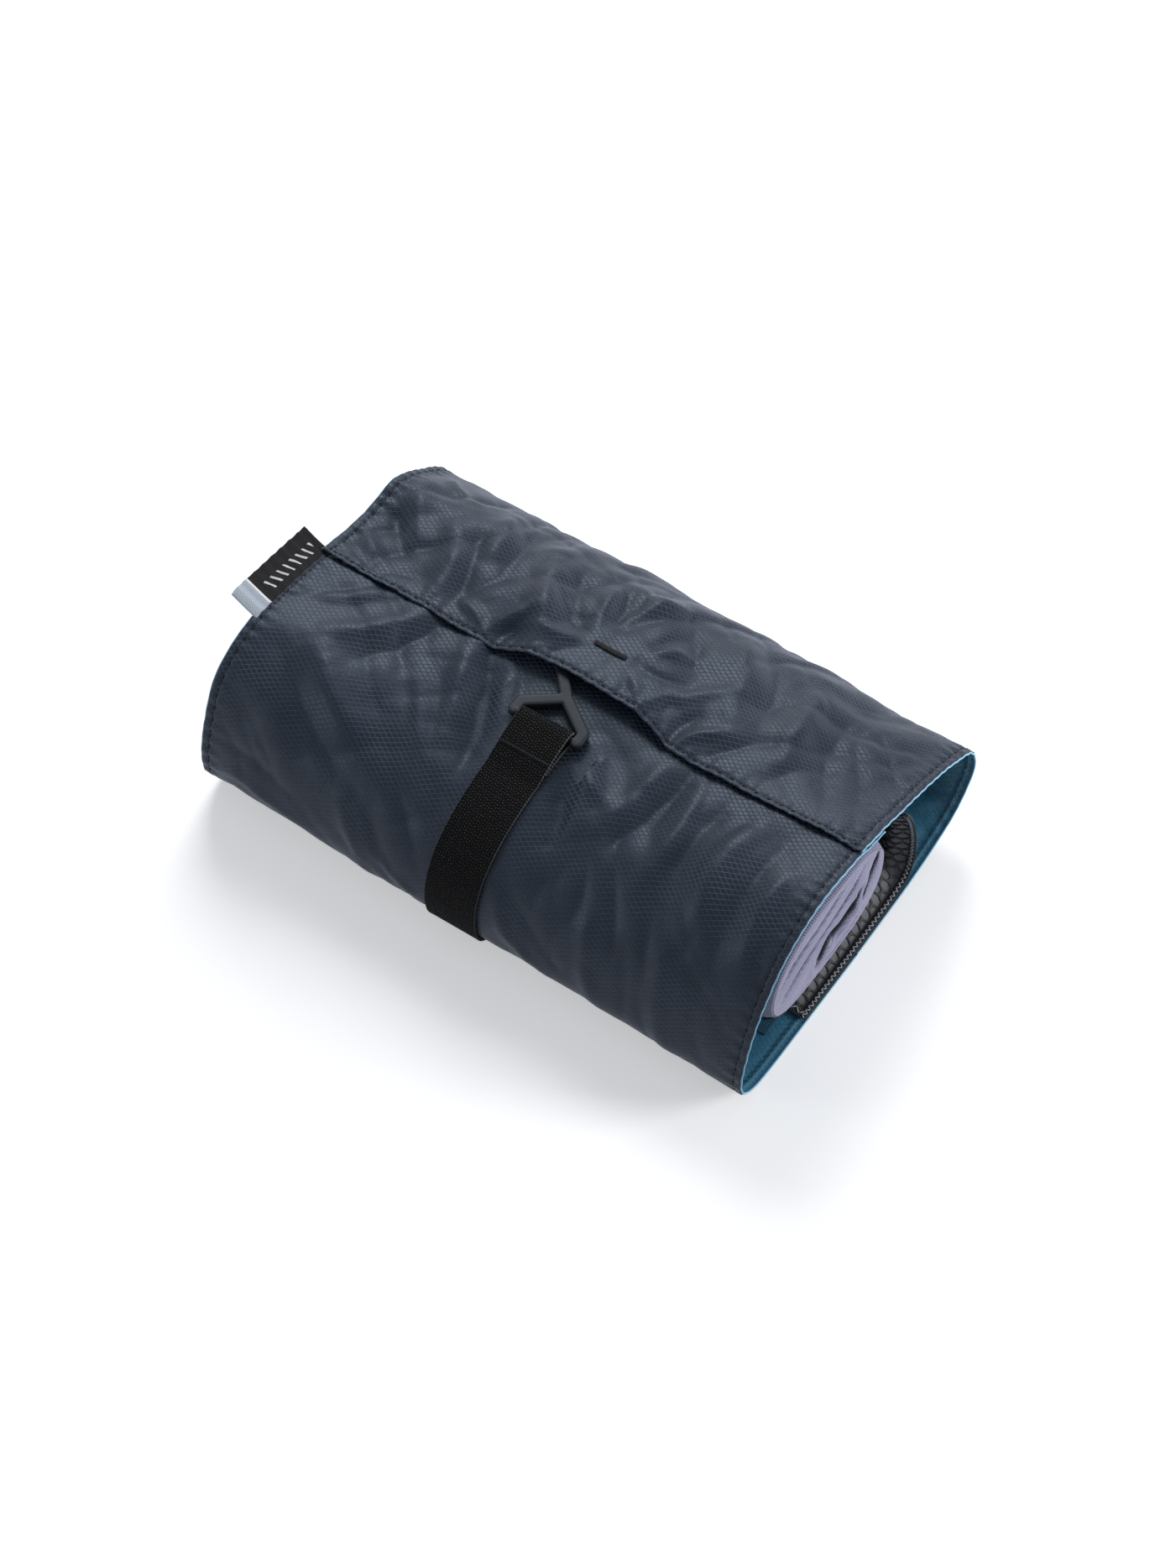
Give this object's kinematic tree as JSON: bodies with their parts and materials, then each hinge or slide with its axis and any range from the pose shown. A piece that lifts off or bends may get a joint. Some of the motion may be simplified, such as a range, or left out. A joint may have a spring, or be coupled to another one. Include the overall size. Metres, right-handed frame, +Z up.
{
  "type": "hanging toiletry bag",
  "caption": "Three-panel fold-up toiletry bag, closed round a folded cloth by an elastic strap whose hook catches a ribbon loop.",
  "frame": {"origin": "centre of the bounding box's underside, on the surface the closed bag lies on", "axes": "+X along the bag from the label end to the other open end, +Y across it from the strap's fold to the flap's fold, +Z up"},
  "size_m": [0.28, 0.1881, 0.0785],
  "materials": {
    "shell": "slate-grey coated ripstop weave with a soft sheen",
    "lining": "petrol-blue plain weave, smooth",
    "net": "black hexagonal net, matt",
    "padding": "dark grey felted, matt",
    "binding": "black ribbed tape with pale stitching",
    "zip_tape": "black woven tape",
    "zip_coil": "black nylon coil",
    "zip_metal": "black enamelled metal, satin",
    "elastic": "black knitted elastic, ribbed, with pale edge lines",
    "stitching": "black thread",
    "hook_plastic": "charcoal moulded plastic, lightly textured",
    "ribbon": "black ribbed ribbon",
    "label_cloth": "black woven label with a white line and a pale grey end",
    "folded_cloth": "lavender-grey ribbed jersey, matt"
  },
  "bodies": {
    "back": {"back_panel": "shell", "back_lining": "lining", "pocket_net": "net", "pocket_padding": "padding", "pocket_binding": "binding", "zip_tape_near": "zip_tape", "zip_tape_far": "zip_tape", "zip_coil_near": "zip_coil", "zip_coil_far": "zip_coil", "zip_end_stops": "zip_metal", "elastic_strap_lower": "elastic", "strap_anchor_tack": "stitching"},
    "front": {"front_panel": "shell", "front_lining": "lining", "label": "label_cloth", "elastic_strap_upper": "elastic", "strap_end_tack": "stitching"},
    "flap": {"flap_panel": "shell", "flap_lining": "lining", "flap_tack": "stitching", "hook_ribbon_loop": "ribbon"},
    "hook": {"hook": "hook_plastic"},
    "zip_slider": {"zip_slider": "zip_metal"},
    "zip_pull": {"zip_pull": "zip_metal"},
    "contents": {"folded_cloth": "folded_cloth"}
  },
  "joints": [
    {"name": "flap_fold", "type": "hinge", "parent": "back", "child": "flap", "pos_m": [0.005, 0.0876, 0.028], "axis": [-1, 0, 0], "range_deg": [0, 155], "deforming": ["hook_ribbon_loop"]},
    {"name": "front_fold", "type": "hinge", "parent": "back", "child": "front", "pos_m": [0.005, -0.0944, 0.028], "axis": [1, 0, 0], "range_deg": [0, 80]},
    {"name": "hook_pivot", "type": "hinge", "parent": "front", "child": "hook", "pos_m": [0, -0.0194, 0.0735], "axis": [1, 0, 0], "range_deg": [0, 50]},
    {"name": "zip_slide", "type": "slide", "parent": "back", "child": "zip_slider", "axis": [1, 0, 0], "range_m": [0, 0.235]},
    {"name": "pull_hinge", "type": "hinge", "parent": "zip_slider", "child": "zip_pull", "pos_m": [-0.113, -0.044, 0.0063], "axis": [0, -1, 0], "range_deg": [0, 170]},
    {"name": "contents_slide", "type": "slide", "parent": "back", "child": "contents", "axis": [1, 0, 0], "range_m": [0, 0.26]}
  ],
  "couplings": [
    {"joint": "front_fold", "follows": "flap_fold", "ratio": 0.4},
    {"joint": "hook_pivot", "follows": "flap_fold", "ratio": 0.25}
  ]
}
